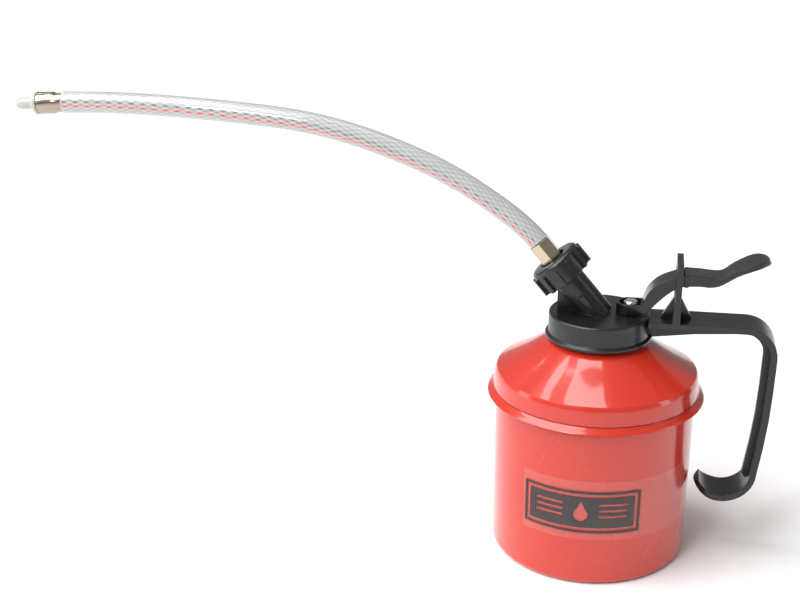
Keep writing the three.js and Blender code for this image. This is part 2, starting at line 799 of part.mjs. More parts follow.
// Lever with its tray, the slot the rod passes through, and the collar behind the post
function lever() {
  const place = ([x, h]) => [ROD_X + x, HEAD_Z + h];
  const side = [
    place(LEVER_TOP[0]),
    ...eased(LEVER_TOP.slice(1)),
    ...eased(LEVER_UNDER.slice(0, -1)),
    place(LEVER_UNDER[LEVER_UNDER.length - 1]),
  ];
  const end = ROD_X + LEVER_TOP[LEVER_TOP.length - 1][0];
  const plan = toSolid(slab(leverPlan(end), HEAD_Z - GAP, HEAD_Z + POST_H * 2));
  const body = toSolid(plate(side, PADDLE_W * 2)).intersect(plan);
  const collarX = POST_X + POST_T / 2 + RUN * 2;
  const collarW = LEVER_W + COLLAR_PROUD * 2;
  const collar = block(collarX, collarX + COLLAR_T, collarW, HEAD_Z + COLLAR_LOW, HEAD_Z + COLLAR_HIGH);
  const front = ROD_X + LEVER_TOP[0][0] + TRAY_WALL;
  const dishR = LEVER_W / 2 - TRAY_SIDE;
  const dishFront = arc(front + dishR, 0, dishR, Math.PI / 2, (Math.PI * 3) / 2, BEND_STEPS * 2);
  const dish = slab(
    [...dishFront, [front + TRAY_LEN, -dishR], [front + TRAY_LEN, dishR]],
    TRAY_Z,
    HEAD_Z + POST_H,
  );
  const slotR = ROD_R + GAP;
  const slotBack = arc(ROD_X - SLOT_BACK + slotR, 0, slotR, Math.PI / 2, (Math.PI * 3) / 2, CORNER_STEPS * 2);
  const slotFore = arc(ROD_X + SLOT_FORE - slotR, 0, slotR, -Math.PI / 2, Math.PI / 2, CORNER_STEPS * 2);
  const slot = slab([...slotBack, ...slotFore], HEAD_Z - GAP, TRAY_Z + GAP);
  return fromSolid(cut(join([body, toSolid(collar)]), [toSolid(dish), toSolid(slot)]));
}

// ---- pump; each piece is drawn on the rod's axis ----

// Rod and its domed button, one piece
function plungerRod() {
  const coneTop = BUTTON_Z + BUTTON_CONE_H;
  const dome = [];
  for (let i = 1; i <= CORNER_STEPS; i++) {
    const angle = ((Math.PI / 2) * i) / (CORNER_STEPS + 1);
    dome.push([BUTTON_R * Math.cos(angle), coneTop + GAP + (BUTTON_DOME_H - GAP) * Math.sin(angle)]);
  }
  const end = PISTON_Z - ROD_IN_PISTON;
  return turned(
    [
      [0, end],
      [ROD_R, end],
      [ROD_R, BUTTON_Z],
      [BUTTON_R, coneTop],
      [BUTTON_R, coneTop + GAP],
      ...dome,
      [0, coneTop + BUTTON_DOME_H],
    ],
    TUBE_SIDES,
  );
}

function glandBush() {
  const bore = ROD_R + GAP;
  const flangeR = BARREL_BORE_R - RUN;
  const low = BARREL_TOP_Z - GLAND_FLANGE_T;
  return turned(
    [
      [bore, low],
      [flangeR, low],
      [flangeR, BARREL_TOP_Z],
      [GLAND_R, BARREL_TOP_Z],
      [GLAND_R, HEAD_Z - GAP],
      [bore, HEAD_Z - GAP],
    ],
    TUBE_SIDES,
  );
}

const rodSeal = () => ringOf(ROD_R + GAP, BARREL_BORE_R - RUN, SEAL_Z, SEAL_Z + SEAL_T, TUBE_SIDES);

function returnSpring() {
  const radius = (ROD_R + BARREL_BORE_R) / 2;
  return coilSpring(radius, SPRING_WIRE_R, PISTON_Z + GAP, SEAL_Z - GAP, SPRING_TURNS);
}

function piston() {
  const hole = ROD_R + GAP;
  const floor = PISTON_Z - ROD_IN_PISTON - GAP;
  const r = BARREL_BORE_R - RUN;
  return turned(
    [
      [0, PISTON_LOW_Z - PISTON_SPIGOT],
      [ROD_R, PISTON_LOW_Z - PISTON_SPIGOT],
      [ROD_R, PISTON_LOW_Z],
      [r, PISTON_LOW_Z],
      [r, PISTON_Z],
      [hole, PISTON_Z],
      [hole, floor],
      [0, floor],
    ],
    TUBE_SIDES,
  );
}

function pistonCup() {
  const top = PISTON_LOW_Z - GAP;
  return ringOf(ROD_R + GAP, BARREL_BORE_R - GAP, top - CUP_T, top, TUBE_SIDES);
}

// Tube with a plate at its top; a groove in the plate leads oil to the socket's bore
function pumpBarrel() {
  const [ductX] = spoutPoint(-(HEAD_Z - ROOF_Z) / Math.cos(SPOUT_TILT));
  const reach = ductX - ROD_X;
  const plateZ = BARREL_TOP_Z - BARREL_TOP_T;
  const side = DUCT_R * 2;
  const far = arc(reach, 0, side, Math.PI / 2, (Math.PI * 3) / 2, BEND_STEPS);
  const top = slab([...far, [0, -BARREL_R * 0.9], [0, BARREL_R * 0.9]], plateZ, BARREL_TOP_Z);
  const tube = rodOf(BARREL_R, BARREL_Z, BARREL_TOP_Z, TUBE_SIDES);
  const bore = rodOf(BARREL_BORE_R, BARREL_Z - GAP, BARREL_TOP_Z + GAP, TUBE_SIDES);
  const groove = block(reach - DUCT_R, 0, PASSAGE_W, BARREL_TOP_Z - PASSAGE_H, BARREL_TOP_Z + GAP);
  return fromSolid(cut(join([toSolid(tube), toSolid(top)]), [toSolid(bore), toSolid(groove)]));
}

// Plugs the barrel, with the inlet ball's seat and cage inside and the suction tube's socket below
function footValve() {
  const spigotR = BARREL_BORE_R - GAP;
  const socketR = TUBE_R + GAP;
  const chamberTop = INLET_BALL_Z + INLET_BALL_R + INLET_LIFT + RUN;
  return turned(
    [
      [socketR, VALVE_LOW_Z],
      [BARREL_R, VALVE_LOW_Z],
      [BARREL_R, BARREL_Z - GAP],
      [spigotR, BARREL_Z - GAP],
      [spigotR, chamberTop + SHEET],
      [INLET_SEAT_R, chamberTop + SHEET],
      [INLET_SEAT_R, chamberTop],
      [INLET_CHAMBER_R, chamberTop],
      [INLET_CHAMBER_R, INLET_SEAT_Z + INLET_CHAMBER_R - INLET_SEAT_R],
      [INLET_SEAT_R, INLET_SEAT_Z],
      [INLET_SEAT_R, VALVE_LOW_Z + TUBE_PLUG + GAP],
      [socketR, VALVE_LOW_Z + TUBE_PLUG + GAP],
    ],
    TUBE_SIDES,
  );
}

const ball = (r) => new THREE.SphereGeometry(r, SMALL_SIDES, SMALL_SIDES / 2);

function suctionTube() {
  const low = SHEET + STRAINER_CLEAR + STRAINER_H / 2;
  return ringOf(TUBE_R - TUBE_WALL, TUBE_R, low, VALVE_LOW_Z + TUBE_PLUG, SMALL_SIDES);
}

function strainer() {
  const low = SHEET + STRAINER_CLEAR;
  const rIn = TUBE_R + GAP;
  const rOut = rIn + SHEET * 1.4;
  const cup = turned(
    [
      [0, low],
      [rOut, low],
      [rOut, low + STRAINER_H],
      [rIn, low + STRAINER_H],
      [rIn, low + SHEET],
      [0, low + SHEET],
    ],
    SMALL_SIDES,
  );
  const slits = [0, 1].map((i) => {
    const slit = new THREE.BoxGeometry(rOut * 3, SHEET * 1.5, STRAINER_H / 4);
    slit.rotateZ((Math.PI / 2) * i).translate(0, 0, low + SHEET * 1.5 + STRAINER_H / 8);
    return toSolid(slit);
  });
  return fromSolid(cut(toSolid(cup), slits));
}

// ---- spout; each piece is drawn on the socket's axis ----

function outletSpring() {
  const low = OUTLET_BALL_AT + OUTLET_BALL_R + GAP;
  const radius = SOCKET_BORE_R - GAP * 2 - OUTLET_WIRE_R;
  return coilSpring(radius, OUTLET_WIRE_R, low, SOCKET_END - GAP, OUTLET_TURNS);
}

const spoutWasher = () => ringOf(SOCKET_BORE_R, FLANGE_R, WASHER_AT, WASHER_AT + WASHER_T, TUBE_SIDES);

function unionNut() {
  const bore = SOCKET_THREAD_R + RUN;
  const shell = toSolid(
    turned(
      [
        [bore, NUT_START],
        [NUT_R, NUT_START],
        ...arc(NUT_R - NUT_ROUND, NUT_END - NUT_ROUND, NUT_ROUND, 0, Math.PI / 2, CORNER_STEPS),
        [NUT_HOLE_R, NUT_END],
        [NUT_HOLE_R, NUT_FACE_AT],
        [bore, NUT_FACE_AT],
      ],
      CAN_SIDES,
    ),
  );
  const ribs = [];
  for (let i = 0; i < NUT_RIBS; i++) {
    const rib = new THREE.BoxGeometry(NUT_RIB * 2, NUT_RIB_W, NUT_RIB_L);
    rib.translate(NUT_R, 0, NUT_START + NUT_RIB_L / 2).rotateZ((2 * Math.PI * i) / NUT_RIBS);
    ribs.push(toSolid(rib));
  }
  return fromSolid(join([shell, ...ribs]));
}

// Short tail through the washer, flange under the nut, hexagon above it
function hoseAdaptor() {
  const tailR = SOCKET_BORE_R - RUN;
  const round = [
    [0, SOCKET_END + GAP / 3],
    [tailR, SOCKET_END + GAP / 3],
    [tailR, FLANGE_AT],
    [FLANGE_R, FLANGE_AT],
    [FLANGE_R, HEX_AT],
    [0, HEX_AT],
  ];
  const hexR = HEX_FLATS / Math.sqrt(3);
  const length = HEX_L + FLANGE_T / 2;
  const hex = new THREE.CylinderGeometry(hexR, hexR, length, 6).rotateX(Math.PI / 2).rotateZ(HEX_TURN);
  hex.translate(0, 0, HEX_END - length / 2);
  const body = join([toSolid(turned(round, TUBE_SIDES)), toSolid(hex)]);
  return fromSolid(cut(body, [toSolid(rodOf(DUCT_R, SOCKET_END - GAP, HEX_END + GAP, SMALL_SIDES))]));
}

function spoutHose() {
  const route = [spoutPoint(HOSE_AT), ...HOSE_ROUTE, [TIP_X, TIP_Z]];
  const points = route.map(([x, z]) => new THREE.Vector3(x, 0, z));
  const path = new THREE.CatmullRomCurve3(points, false, "centripetal");
  const options = { steps: HOSE_STEPS, extrudePath: path, bevelEnabled: false };
  return closed(new THREE.ExtrudeGeometry(roundShape(HOSE_R, HOSE_SIDES), options));
}

// Along the end fitting's own axis, from the hose's end
function endFerrule() {
  const end = GAP + FERRULE_L;
  return turned(
    [
      [FERRULE_BORE_R, GAP],
      [FERRULE_NECK_R, GAP],
      [FERRULE_NECK_R, FERRULE_L * 0.3],
      [FERRULE_R, FERRULE_L * 0.45],
      [FERRULE_R, end],
      [FERRULE_BORE_R, end],
    ],
    SMALL_SIDES,
  );
}

function nozzle() {
  const flange = FERRULE_L + GAP * 2;
  const cone = flange + NOZZLE_FLANGE_T;
  const tube = cone + NOZZLE_CONE;
  const tip = tube + NOZZLE_TUBE;
  const tailR = FERRULE_BORE_R - GAP;
  return turned(
    [
      [NOZZLE_BORE_R, flange - NOZZLE_TAIL],
      [tailR, flange - NOZZLE_TAIL],
      [tailR, flange],
      [NOZZLE_FLANGE_R, flange],
      [NOZZLE_FLANGE_R, cone],
      [NOZZLE_R, tube],
      [NOZZLE_R, tip],
      [NOZZLE_TIP_R, tip + NOZZLE_TIP_STRAIGHT],
      [NOZZLE_BORE_R * 1.5, tip + NOZZLE_TIP],
      [NOZZLE_BORE_R, tip + NOZZLE_TIP],
    ],
    SMALL_SIDES,
  );
}

// ---- label, a skin on the wall's own facets ----

function label() {
  const rIn = CAN_R + LABEL_GAP;
  const rOut = rIn + LABEL_T;
  const [from, to] = LABEL_STEPS;
  const at = (r, i) => {
    const angle = (2 * Math.PI * i) / CAN_SIDES;
    return [r * Math.cos(angle), r * Math.sin(angle)];
  };
  const outline = [];
  for (let i = from; i <= to; i++) outline.push(at(rOut, i));
  for (let i = to; i >= from; i--) outline.push(at(rIn, i));
  return slab(outline, LABEL_Z, LABEL_Z + LABEL_H);
}

// ---- assembly ----

function mesh(name, geometry, look) {
  const material = new THREE.MeshStandardMaterial(look);
  const piece = new THREE.Mesh(geometry, material);
  piece.name = name;
  return piece;
}

const part = new THREE.Group();
part.add(
  mesh("can_body", canBody(), RED),
  mesh("can_shoulder", canShoulder(), RED),
  mesh("neck_collar", neckCollar(), STEEL),
  mesh("label", label(), CLEAR),
  mesh("head_gasket", headGasket(), RUBBER),
  mesh("pump_head", pumpHead(), BLACK),
  mesh("lever", lever(), GLOSS_BLACK),
);

const pump = new THREE.Group();
pump.position.x = ROD_X;
const inletBall = mesh("inlet_ball", ball(INLET_BALL_R), STEEL);
inletBall.position.z = INLET_BALL_Z;
pump.add(
  mesh("plunger_rod", plungerRod(), ZINC),
  mesh("gland_bush", glandBush(), BRASS),
  mesh("rod_seal", rodSeal(), RUBBER),
  mesh("return_spring", returnSpring(), STEEL),
  mesh("piston", piston(), BRASS),
  mesh("piston_cup", pistonCup(), RUBBER),
  mesh("pump_barrel", pumpBarrel(), STEEL),
  mesh("foot_valve", footValve(), BRASS),
  inletBall,
  mesh("suction_tube", suctionTube(), WHITE),
  mesh("strainer", strainer(), BRASS),
);
part.add(pump);

const spout = new THREE.Group();
spout.position.set(SPOUT_FOOT_X, 0, HEAD_Z);
spout.rotation.y = -SPOUT_TILT;
const outletBall = mesh("outlet_ball", ball(OUTLET_BALL_R), STEEL);
outletBall.position.z = OUTLET_BALL_AT;
spout.add(
  outletBall,
  mesh("outlet_spring", outletSpring(), STEEL),
  mesh("spout_washer", spoutWasher(), RUBBER),
  mesh("union_nut", unionNut(), GLOSS_BLACK),
  mesh("hose_adaptor", hoseAdaptor(), BRASS),
);
part.add(spout, mesh("spout_hose", spoutHose(), CLEAR));

const tip = new THREE.Group();
tip.position.set(TIP_X, 0, TIP_Z);
tip.rotation.y = -TIP_TILT;
tip.add(mesh("end_ferrule", endFerrule(), NICKEL), mesh("nozzle", nozzle(), WHITE));
part.add(tip);

export default part;
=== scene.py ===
"""Thumb-lever pump oil can with a clear braided spout: finishes, spout hose, light and camera.

The frame is the CAD model's, in metres: the can stands on Z = 0, the handle is on +X and the spout on -X.
"""
import json
import math

import bmesh
import bpy
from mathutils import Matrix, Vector


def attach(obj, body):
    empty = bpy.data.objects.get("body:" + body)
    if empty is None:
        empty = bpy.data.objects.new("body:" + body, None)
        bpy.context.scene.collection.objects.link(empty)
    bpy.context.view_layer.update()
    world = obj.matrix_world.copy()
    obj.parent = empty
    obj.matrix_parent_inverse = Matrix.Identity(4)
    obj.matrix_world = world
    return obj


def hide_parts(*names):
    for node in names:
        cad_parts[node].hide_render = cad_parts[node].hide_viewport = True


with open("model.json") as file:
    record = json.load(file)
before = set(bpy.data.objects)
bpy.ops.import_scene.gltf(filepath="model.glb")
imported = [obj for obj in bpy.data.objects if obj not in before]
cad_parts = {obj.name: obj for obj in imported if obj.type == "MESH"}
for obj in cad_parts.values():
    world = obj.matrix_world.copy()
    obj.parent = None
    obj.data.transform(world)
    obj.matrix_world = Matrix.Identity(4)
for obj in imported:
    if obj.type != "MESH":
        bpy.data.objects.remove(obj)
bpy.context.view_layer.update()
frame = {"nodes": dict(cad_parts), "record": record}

MM = 0.001


# ---- camera, light and floor ----

WORLD_STRENGTH = 0.30
GLOW_POWER = 3.4
GLOW_ANGLE = math.radians(55)
GLOW_WAY = (0.55, 0.30, -0.85)
CAN_MIDDLE = (0, 0, 0.06)
# Name, place, point aimed at, width and height, watts
SOFTBOXES = (
    ("window_main", (-0.06, 0.055, 0.70), (-0.06, 0.055, 0), (0.24, 0.085), 0.42),
    ("window_side", (-0.32, 0.13, 0.70), (-0.32, 0.13, 0), (0.09, 0.10), 0.18),
    ("window_low", (-0.52, 0.34, 0.60), (-0.52, 0.34, 0), (0.12, 0.07), 0.16),
    ("front_box", (-0.30, -0.60, 0.50), CAN_MIDDLE, (0.16, 0.16), 1.2),
    ("left_strip", (-0.75, -0.15, 0.25), CAN_MIDDLE, (0.20, 0.6), 1.0),
    ("right_strip", (0.80, -0.10, 0.30), CAN_MIDDLE, (0.18, 0.6), 0.8),
)
FLOOR_HALF = 30
FLOOR_DROP = 0.0002  # keeps the floor's face apart from the can's base


def place_camera():
    data = bpy.data.cameras.new("can_camera")
    data.lens = 56.675
    data.sensor_width = 36
    data.shift_x = -0.0422
    data.shift_y = 0.1205
    camera = bpy.data.objects.new("can_camera", data)
    camera.location = (0.01153, -0.46841, 0.27714)
    camera.rotation_euler = (math.radians(65.361), 0, math.radians(9.4))
    bpy.context.scene.collection.objects.link(camera)
    bpy.context.scene.camera = camera


def softbox(name, location, target, size, power):
    data = bpy.data.lights.new(name, "AREA")
    data.shape = "RECTANGLE"
    data.size, data.size_y = size
    data.energy = power
    light = bpy.data.objects.new(name, data)
    light.location = location
    light.rotation_euler = (Vector(target) - Vector(location)).to_track_quat("-Z", "Y").to_euler()
    bpy.context.scene.collection.objects.link(light)


def light_studio():
    world = bpy.data.worlds.new("studio_world")
    world.use_nodes = True
    background = world.node_tree.nodes["Background"]
    background.inputs["Color"].default_value = (1, 1, 1, 1)
    background.inputs["Strength"].default_value = WORLD_STRENGTH
    bpy.context.scene.world = world
    bpy.context.scene.view_settings.view_transform = "Standard"
    data = bpy.data.lights.new("ceiling_glow", "SUN")
    data.energy = GLOW_POWER
    data.angle = GLOW_ANGLE
    glow = bpy.data.objects.new("ceiling_glow", data)
    glow.rotation_euler = Vector(GLOW_WAY).to_track_quat("-Z", "Y").to_euler()
    bpy.context.scene.collection.objects.link(glow)
    for box in SOFTBOXES:
        softbox(*box)


def lay_floor():
    mesh = bpy.data.meshes.new("floor")
    corners = [(x * FLOOR_HALF, y * FLOOR_HALF, 0) for x, y in ((-1, -1), (1, -1), (1, 1), (-1, 1))]
    mesh.from_pydata(corners, [], [(0, 1, 2, 3)])
    floor = bpy.data.objects.new("floor", mesh)
    floor.location.z = -FLOOR_DROP
    bpy.context.scene.collection.objects.link(floor)
    tree, shader = blank_material("pale_floor")
    noise = add(tree, "ShaderNodeTexNoise", Scale=30, Detail=3)
    tint = ramp(tree, noise.outputs["Fac"], [(0, (0.90, 0.90, 0.90)), (1, (0.93, 0.93, 0.93))])
    tree.links.new(tint, shader.inputs["Base Color"])
    shader.inputs["Roughness"].default_value = 0.9
    mesh.materials.append(bpy.data.materials["pale_floor"])


# ---- node helpers ----

SPECK_REACH = 0.11  # share of a cell
RARE_OVER = 0.9
SCUFF_OVER = 0.69
SCUFF_STRETCH = (60, 60, 900)
SCUFF_TILT = (0.5, 0.3, 0.2)
SCATTER_REACH = (0.002, 0.002, 0.002)


def blank_material(name):
    material = bpy.data.materials.new(name)
    material.use_nodes = True
    tree = material.node_tree
    return tree, tree.nodes["Principled BSDF"]


def add(tree, kind, **values):
    """A node, with values set on its inputs (underscores stand for spaces) or its own settings."""
    node = tree.nodes.new(kind)
    for key, value in values.items():
        socket = key.replace("_", " ")
        if socket in node.inputs:
            node.inputs[socket].default_value = value
        else:
            setattr(node, key, value)
    return node


def math_node(tree, operation, *inputs):
    node = tree.nodes.new("ShaderNodeMath")
    node.operation = operation
    for socket, value in zip(node.inputs, inputs):
        if isinstance(value, (int, float)):
            socket.default_value = value
        else:
            tree.links.new(value, socket)
    return node.outputs[0]


def ramp(tree, factor, stops):
    node = tree.nodes.new("ShaderNodeValToRGB")
    marks = node.color_ramp.elements
    while len(marks) < len(stops):
        marks.new(0.5)
    for mark, (place, colour) in zip(marks, stops):
        mark.position = place
        mark.color = (*colour, 1)
    tree.links.new(factor, node.inputs["Fac"])
    return node.outputs["Color"]


def mixed(tree, factor, low, high):
    """Colour mix of two colours or colour sockets."""
    node = tree.nodes.new("ShaderNodeMix")
    node.data_type = "RGBA"
    for socket, value in ((node.inputs[0], factor), (node.inputs[6], low), (node.inputs[7], high)):
        if isinstance(value, bpy.types.NodeSocket):
            tree.links.new(value, socket)
        elif isinstance(value, tuple):
            socket.default_value = (*value, 1)
        else:
            socket.default_value = value
    return node.outputs[2]


def spread(tree, value, low, high):
    """Maps 0..1 to low..high."""
    node = tree.nodes.new("ShaderNodeMapRange")
    node.inputs["To Min"].default_value = low
    node.inputs["To Max"].default_value = high
    tree.links.new(value, node.inputs["Value"])
    return node.outputs["Result"]


def make_grain_group():
    """Fine surface grain: a mask of soft patches, and a height for a bump."""
    group = bpy.data.node_groups.new("surface_grain", "ShaderNodeTree")
    face = group.interface
    face.new_socket("Patch Scale", in_out="INPUT", socket_type="NodeSocketFloat")
    face.new_socket("Grain Scale", in_out="INPUT", socket_type="NodeSocketFloat")
    face.new_socket("Patches", in_out="OUTPUT", socket_type="NodeSocketFloat")
    face.new_socket("Height", in_out="OUTPUT", socket_type="NodeSocketFloat")
    inside = group.nodes.new("NodeGroupInput")
    outside = group.nodes.new("NodeGroupOutput")
    place = group.nodes.new("ShaderNodeTexCoord")
    patches = add(group, "ShaderNodeTexNoise", Detail=4, Roughness=0.6)
    grain = add(group, "ShaderNodeTexNoise", Detail=2, Roughness=0.5)
    for noise, scale in ((patches, "Patch Scale"), (grain, "Grain Scale")):
        group.links.new(place.outputs["Object"], noise.inputs["Vector"])
        group.links.new(inside.outputs[scale], noise.inputs["Scale"])
    group.links.new(patches.outputs["Fac"], outside.inputs["Patches"])
    group.links.new(grain.outputs["Fac"], outside.inputs["Height"])
    return group


def make_dust_group():
    """Sparse specks and hairline scuffs, as two masks."""
    group = bpy.data.node_groups.new("specks_and_scuffs", "ShaderNodeTree")
    face = group.interface
    face.new_socket("Speck Scale", in_out="INPUT", socket_type="NodeSocketFloat")
    face.new_socket("Specks", in_out="OUTPUT", socket_type="NodeSocketFloat")
    face.new_socket("Scuffs", in_out="OUTPUT", socket_type="NodeSocketFloat")
    inside = group.nodes.new("NodeGroupInput")
    outside = group.nodes.new("NodeGroupOutput")
    place = group.nodes.new("ShaderNodeTexCoord")
    cells = add(group, "ShaderNodeTexVoronoi")
    group.links.new(place.outputs["Object"], cells.inputs["Vector"])
    group.links.new(inside.outputs["Speck Scale"], cells.inputs["Scale"])
    near = math_node(group, "LESS_THAN", cells.outputs["Distance"], SPECK_REACH)
    pick = group.nodes.new("ShaderNodeSeparateColor")
    group.links.new(cells.outputs["Color"], pick.inputs["Color"])
    rare = math_node(group, "GREATER_THAN", pick.outputs[0], RARE_OVER)
    group.links.new(math_node(group, "MULTIPLY", near, rare), outside.inputs["Specks"])
    stretch = add(group, "ShaderNodeMapping")
    stretch.inputs["Scale"].default_value = SCUFF_STRETCH
    stretch.inputs["Rotation"].default_value = SCUFF_TILT
    group.links.new(place.outputs["Object"], stretch.inputs["Vector"])
    hair = add(group, "ShaderNodeTexNoise", Scale=1, Detail=2)
    group.links.new(stretch.outputs["Vector"], hair.inputs["Vector"])
    scuffs = math_node(group, "GREATER_THAN", hair.outputs["Fac"], SCUFF_OVER)
    group.links.new(scuffs, outside.inputs["Scuffs"])
    return group


def group_node(tree, group, **values):
    node = tree.nodes.new("ShaderNodeGroup")
    node.node_tree = group
    for key, value in values.items():
        node.inputs[key.replace("_", " ")].default_value = value
    return node


def bumped(tree, shader, height, strength, distance, edge=0):
    """Bump, over a normal that rounds the edges by the given radius where there is one."""
    bump = add(tree, "ShaderNodeBump", Strength=strength, Distance=distance)
    tree.links.new(height, bump.inputs["Height"])
    tree.links.new(bump.outputs["Normal"], shader.inputs["Normal"])
    if edge:
        soft = add(tree, "ShaderNodeBevel", samples=4, Radius=edge)
        tree.links.new(soft.outputs["Normal"], bump.inputs["Normal"])


def scattering(shader, weight):
    shader.inputs["Subsurface Weight"].default_value = weight
    shader.inputs["Subsurface Radius"].default_value = SCATTER_REACH
    shader.inputs["Subsurface Scale"].default_value = 1


# ---- finishes ----

GRAIN_DEPTH = 0.04 * MM
SPECK_SCALE = 350
SPECK_ROUGHNESS = 0.2
SCUFF_GREY = (0.5, 0.5, 0.5)
COAT_ROUGHNESS = 0.06

YARNS = 15  # round the hose, each way
YARN_REPEAT = 4.6 * MM  # along the hose
YARN_FADE = (0.30, 0.10)  # shares of a repeat, from a yarn's edge to its full width
YARN_THREADS = 4
TRACER_PLACE = 0.43  # share of a turn at the adaptor
TRACER_TWIST = 0.26  # turns for each metre
TRACER_HALF = 0.018  # half width, in turns
DASH_PLACE = 0.06  # turns above the tracer
DASH_HALF = 0.022
DASH_SHADE = 0.6

# The print on the label, in millimetres from its middle
FILM_R = 40.5
PRINT_ANGLE = math.radians(-92.6)
PRINT_Z = 33.0
OUTLINE_OUTSIDE = (23.8, 9)
OUTLINE_INSIDE = (22.9, 8.1)
DARK_PANEL = (21.4, 6.6)
BAR_FIELD = (18.6, 3.9)
BAR_START = 7.2
BARS_EACH_MM = 0.385
BULB_DROP = 1.2
BULB_R_SQUARED = 8.4
TIP_HEIGHT = 4.8
TIP_SLOPE = 0.52
TIP_START = 0.2
SPECKS_START = 24.5


def solid_finish(
    name, dark, light, rough,
    metal=0, coat=0, gloss=0.5, patch=60, grain=900, strength=0.15, edge=0.3, scuff=0.06,
):
    """Two close colours in soft patches with their own roughness, a grain bump, specks and scuffs."""
    tree, shader = blank_material(name)
    surface = group_node(tree, GRAIN, Patch_Scale=patch, Grain_Scale=grain)
    marks = group_node(tree, MARKS, Speck_Scale=SPECK_SCALE)
    base = mixed(tree, surface.outputs["Patches"], dark, light)
    worn = mixed(tree, math_node(tree, "MULTIPLY", marks.outputs["Scuffs"], scuff), base, SCUFF_GREY)
    tree.links.new(worn, shader.inputs["Base Color"])
    low, high = rough
    varied = spread(tree, surface.outputs["Patches"], low, high)
    rougher = math_node(tree, "MULTIPLY", marks.outputs["Specks"], SPECK_ROUGHNESS)
    tree.links.new(math_node(tree, "ADD", varied, rougher), shader.inputs["Roughness"])
    shader.inputs["Metallic"].default_value = metal
    shader.inputs["Specular IOR Level"].default_value = gloss
    shader.inputs["Coat Weight"].default_value = coat
    shader.inputs["Coat Roughness"].default_value = COAT_ROUGHNESS
    bumped(tree, shader, surface.outputs["Height"], strength, GRAIN_DEPTH, edge * MM)
    return bpy.data.materials[name]


def nozzle_plastic():
    tree, shader = blank_material("nozzle_plastic")
    surface = group_node(tree, GRAIN, Patch_Scale=150, Grain_Scale=800)
    base = mixed(tree, surface.outputs["Patches"], (0.42, 0.43, 0.40), (0.52, 0.53, 0.50))
    tree.links.new(base, shader.inputs["Base Color"])
    tree.links.new(spread(tree, surface.outputs["Patches"], 0.25, 0.42), shader.inputs["Roughness"])
    scattering(shader, 0.4)
    bumped(tree, shader, surface.outputs["Height"], 0.1, GRAIN_DEPTH, 0.2 * MM)
    return bpy.data.materials["nozzle_plastic"]


def braided_pvc():
    """Clear hose: crossing pale yarns under a glossy skin, over a red tracer and a dark row above it."""
    tree, shader = blank_material("braided_pvc")
    wrap = add(tree, "ShaderNodeUVMap", uv_map="hose_wrap")
    axes = tree.nodes.new("ShaderNodeSeparateXYZ")
    tree.links.new(wrap.outputs["UV"], axes.inputs["Vector"])
    along, round_it = axes.outputs["X"], axes.outputs["Y"]
    yarn_masks = []
    for way in (1, -1):
        turn = math_node(tree, "MULTIPLY", round_it, YARNS * way)
        phase = math_node(tree, "ADD", math_node(tree, "DIVIDE", along, YARN_REPEAT), turn)
        saw = math_node(tree, "FRACT", phase)
        off = math_node(tree, "ABSOLUTE", math_node(tree, "SUBTRACT", saw, 0.5))
        soft = tree.nodes.new("ShaderNodeMapRange")
        soft.interpolation_type = "SMOOTHSTEP"
        soft.inputs["From Min"].default_value, soft.inputs["From Max"].default_value = YARN_FADE
        tree.links.new(off, soft.inputs["Value"])
        threads = math_node(tree, "FRACT", math_node(tree, "MULTIPLY", phase, YARN_THREADS))
        fine = spread(tree, threads, 0.55, 1)
        yarn_masks.append(math_node(tree, "MULTIPLY", soft.outputs["Result"], fine))
    yarn = math_node(tree, "MAXIMUM", *yarn_masks)
    crossing = math_node(tree, "MULTIPLY", *yarn_masks)
    surface = group_node(tree, GRAIN, Patch_Scale=90, Grain_Scale=700)
    clear = mixed(tree, surface.outputs["Patches"], (0.30, 0.31, 0.31), (0.46, 0.47, 0.47))
    lie = math_node(tree, "ADD", math_node(tree, "MULTIPLY", along, TRACER_TWIST), TRACER_PLACE)
    off_centre = math_node(tree, "SUBTRACT", round_it, lie)
    off_line = math_node(tree, "ABSOLUTE", off_centre)
    tracer = math_node(tree, "LESS_THAN", off_line, TRACER_HALF)
    above = math_node(tree, "ABSOLUTE", math_node(tree, "SUBTRACT", off_centre, DASH_PLACE))
    shade = math_node(tree, "MULTIPLY", math_node(tree, "LESS_THAN", above, DASH_HALF), DASH_SHADE)
    deep = mixed(tree, shade, clear, (0.09, 0.09, 0.10))
    core = mixed(tree, tracer, deep, (0.72, 0.05, 0.04))
    cover = math_node(tree, "MULTIPLY", yarn, spread(tree, tracer, 0.92, 0.86))
    pale = mixed(tree, crossing, (0.50, 0.51, 0.51), (0.72, 0.73, 0.73))
    tree.links.new(mixed(tree, cover, core, pale), shader.inputs["Base Color"])
    tree.links.new(spread(tree, surface.outputs["Patches"], 0.22, 0.38), shader.inputs["Roughness"])
    scattering(shader, 0.25)
    shader.inputs["Coat Weight"].default_value = 0.8
    shader.inputs["Coat Roughness"].default_value = 0.08
    bumped(tree, shader, yarn, 0.35, 0.2 * MM)
    return bpy.data.materials["braided_pvc"]


